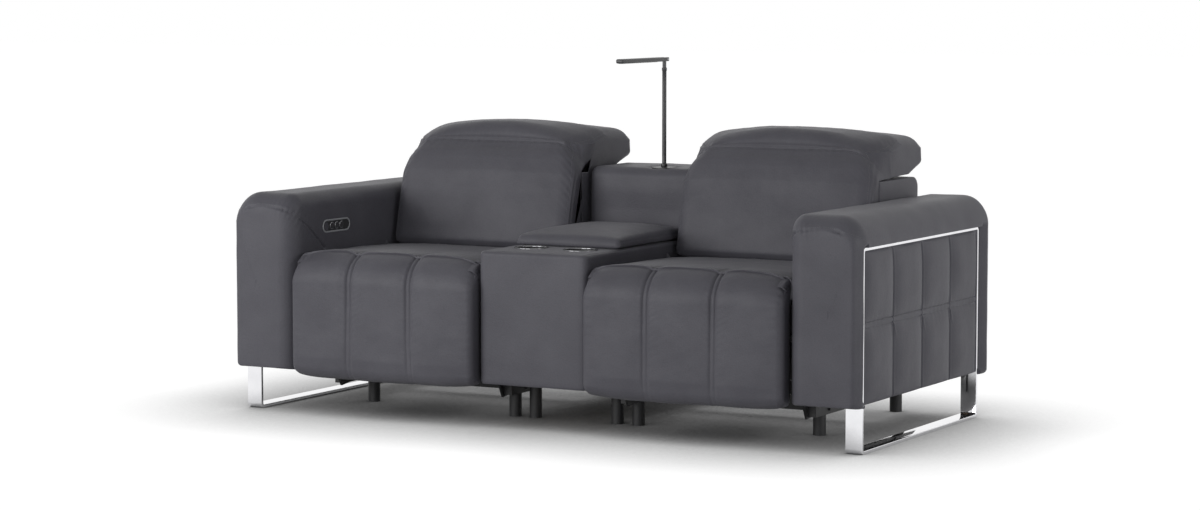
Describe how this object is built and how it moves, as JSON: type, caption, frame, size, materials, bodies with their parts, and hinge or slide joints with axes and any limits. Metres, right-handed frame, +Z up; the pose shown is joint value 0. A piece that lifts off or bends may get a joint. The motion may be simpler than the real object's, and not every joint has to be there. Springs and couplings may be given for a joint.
{
  "type": "power reclining sofa",
  "caption": "Power reclining sofa with sliding seats, lifting legrests, tilting headrests, a centre console with cup holders and a lidded bin, and chrome loop legs.",
  "frame": {"origin": "centre of the overall box on the floor", "axes": "+X to the right seen from the front, -Y the front, +Z up"},
  "size_m": [2.048, 1.0143, 1.058],
  "materials": {
    "leather": "charcoal grey leather with a fine grain and a soft sheen",
    "chrome": "mirror",
    "plywood": "bare",
    "black_steel": "satin black",
    "zinc_steel": "zinc plated",
    "black_plastic": "matt",
    "grey_plastic": "satin",
    "lamp_black": "satin black"
  },
  "bodies": {
    "base": {"arm_frames": "plywood", "control_panels": "grey_plastic", "usb_ports": "black_plastic", "base_frames": "black_steel", "feet": "black_plastic", "recline_rods": "chrome", "rear_panels": "leather", "console_frame": "plywood", "console_cover": "leather", "console_bin": "black_plastic", "lid_hinge": "black_steel", "cup_holders": "chrome", "console_back": "leather", "power_supply": "black_plastic", "lamp_socket": "black_plastic", "arm_cover_left": "leather", "arm_cover_right": "leather", "side_panel_left": "leather", "side_panel_right": "leather", "chrome_loop_left": "chrome", "chrome_loop_right": "chrome"},
    "carriage_left": {"seat_cushion_left": "leather", "seat_frame_left": "black_steel", "seat_springs_left": "zinc_steel", "seat_motors_left": "black_plastic"},
    "legrest_left": {"legrest_pad_left": "leather", "legrest_frame_left": "black_steel"},
    "swing_left": {"swing_links_left": "black_steel"},
    "push_left": {"push_links_left": "black_steel"},
    "nut_left": {"drive_nut_left": "zinc_steel"},
    "back_left": {"back_cushion_left": "leather", "back_frame_left": "black_steel", "back_shell_left": "leather", "headrest_motor_left": "black_plastic"},
    "headrest_left": {"headrest_pad_left": "leather", "headrest_frame_left": "black_steel"},
    "open_button_left": {"open_button_left": "black_plastic"},
    "close_button_left": {"close_button_left": "black_plastic"},
    "head_button_left": {"head_button_left": "black_plastic"},
    "carriage_right": {"seat_cushion_right": "leather", "seat_frame_right": "black_steel", "seat_springs_right": "zinc_steel", "seat_motors_right": "black_plastic"},
    "legrest_right": {"legrest_pad_right": "leather", "legrest_frame_right": "black_steel"},
    "swing_right": {"swing_links_right": "black_steel"},
    "push_right": {"push_links_right": "black_steel"},
    "nut_right": {"drive_nut_right": "zinc_steel"},
    "back_right": {"back_cushion_right": "leather", "back_frame_right": "black_steel", "back_shell_right": "leather", "headrest_motor_right": "black_plastic"},
    "headrest_right": {"headrest_pad_right": "leather", "headrest_frame_right": "black_steel"},
    "open_button_right": {"open_button_right": "black_plastic"},
    "close_button_right": {"close_button_right": "black_plastic"},
    "head_button_right": {"head_button_right": "black_plastic"},
    "lid": {"console_lid": "leather"},
    "lamp_pole": {"lamp_pole": "lamp_black"},
    "lamp_head": {"lamp_head": "lamp_black"}
  },
  "joints": [
    {"name": "seat_slide_left", "type": "slide", "parent": "base", "child": "carriage_left", "axis": [0, -1, 0], "range_m": [0, 0.1]},
    {"name": "back_recline_left", "type": "hinge", "parent": "carriage_left", "child": "back_left", "pos_m": [-0.491, 0.15, 0.38], "axis": [-1, 0, 0], "range_deg": [0, 30]},
    {"name": "legrest_lift_left", "type": "hinge", "parent": "carriage_left", "child": "legrest_left", "pos_m": [-0.491, -0.46712, 0.44662], "axis": [-1, 0, 0], "range_deg": [0, 84]},
    {"name": "link_swing_left", "type": "hinge", "parent": "carriage_left", "child": "swing_left", "pos_m": [-0.491, -0.24012, 0.29662], "axis": [-1, 0, 0], "range_deg": [0, 84]},
    {"name": "link_push_left", "type": "hinge", "parent": "legrest_left", "child": "push_left", "pos_m": [-0.491, -0.41712, 0.3076], "axis": [-1, 0, 0], "range_deg": [-84, 0]},
    {"name": "nut_travel_left", "type": "slide", "parent": "carriage_left", "child": "nut_left", "axis": [0, -1, 0], "range_m": [0, 0.11165]},
    {"name": "headrest_tilt_left", "type": "hinge", "parent": "back_left", "child": "headrest_left", "pos_m": [-0.491, 0.1835, 0.7865], "axis": [1, 0, 0], "range_deg": [0, 60]},
    {"name": "open_press_left", "type": "slide", "parent": "base", "child": "open_button_left", "axis": [-1, 0, 0], "range_m": [0, 0.0015], "stiffness_N_per_m": 400, "springref_m": -0.001},
    {"name": "close_press_left", "type": "slide", "parent": "base", "child": "close_button_left", "axis": [-1, 0, 0], "range_m": [0, 0.0015], "stiffness_N_per_m": 400, "springref_m": -0.001},
    {"name": "head_press_left", "type": "slide", "parent": "base", "child": "head_button_left", "axis": [-1, 0, 0], "range_m": [0, 0.0015], "stiffness_N_per_m": 400, "springref_m": -0.001},
    {"name": "seat_slide_right", "type": "slide", "parent": "base", "child": "carriage_right", "axis": [0, -1, 0], "range_m": [0, 0.1]},
    {"name": "back_recline_right", "type": "hinge", "parent": "carriage_right", "child": "back_right", "pos_m": [0.491, 0.15, 0.38], "axis": [-1, 0, 0], "range_deg": [0, 30]},
    {"name": "legrest_lift_right", "type": "hinge", "parent": "carriage_right", "child": "legrest_right", "pos_m": [0.491, -0.46712, 0.44662], "axis": [-1, 0, 0], "range_deg": [0, 84]},
    {"name": "link_swing_right", "type": "hinge", "parent": "carriage_right", "child": "swing_right", "pos_m": [0.491, -0.24012, 0.29662], "axis": [-1, 0, 0], "range_deg": [0, 84]},
    {"name": "link_push_right", "type": "hinge", "parent": "legrest_right", "child": "push_right", "pos_m": [0.491, -0.41712, 0.3076], "axis": [-1, 0, 0], "range_deg": [-84, 0]},
    {"name": "nut_travel_right", "type": "slide", "parent": "carriage_right", "child": "nut_right", "axis": [0, -1, 0], "range_m": [0, 0.11165]},
    {"name": "headrest_tilt_right", "type": "hinge", "parent": "back_right", "child": "headrest_right", "pos_m": [0.491, 0.1835, 0.7865], "axis": [1, 0, 0], "range_deg": [0, 60]},
    {"name": "open_press_right", "type": "slide", "parent": "base", "child": "open_button_right", "axis": [1, 0, 0], "range_m": [0, 0.0015], "stiffness_N_per_m": 400, "springref_m": -0.001},
    {"name": "close_press_right", "type": "slide", "parent": "base", "child": "close_button_right", "axis": [1, 0, 0], "range_m": [0, 0.0015], "stiffness_N_per_m": 400, "springref_m": -0.001},
    {"name": "head_press_right", "type": "slide", "parent": "base", "child": "head_button_right", "axis": [1, 0, 0], "range_m": [0, 0.0015], "stiffness_N_per_m": 400, "springref_m": -0.001},
    {"name": "lid_open", "type": "hinge", "parent": "base", "child": "lid", "pos_m": [0, 0.17, 0.516], "axis": [-1, 0, 0], "range_deg": [0, 70]},
    {"name": "lamp_swivel", "type": "hinge", "parent": "base", "child": "lamp_pole", "pos_m": [0.05, 0.262, 0.721], "axis": [0, 0, 1], "range_deg": [-150, 150]},
    {"name": "lamp_tilt", "type": "hinge", "parent": "lamp_pole", "child": "lamp_head", "pos_m": [0.05, 0.262, 1.048], "axis": [1, 0, 0], "range_deg": [-60, 50]}
  ],
  "couplings": [
    {"joint": "back_recline_left", "follows": "seat_slide_left", "rad_per_m": 5.2359},
    {"joint": "link_swing_left", "follows": "legrest_lift_left", "ratio": 1},
    {"joint": "link_push_left", "follows": "legrest_lift_left", "ratio": -1},
    {"joint": "nut_travel_left", "follows": "legrest_lift_left", "m_per_rad": 0.07614},
    {"joint": "back_recline_right", "follows": "seat_slide_right", "rad_per_m": 5.2359},
    {"joint": "link_swing_right", "follows": "legrest_lift_right", "ratio": 1},
    {"joint": "link_push_right", "follows": "legrest_lift_right", "ratio": -1},
    {"joint": "nut_travel_right", "follows": "legrest_lift_right", "m_per_rad": 0.07614}
  ]
}
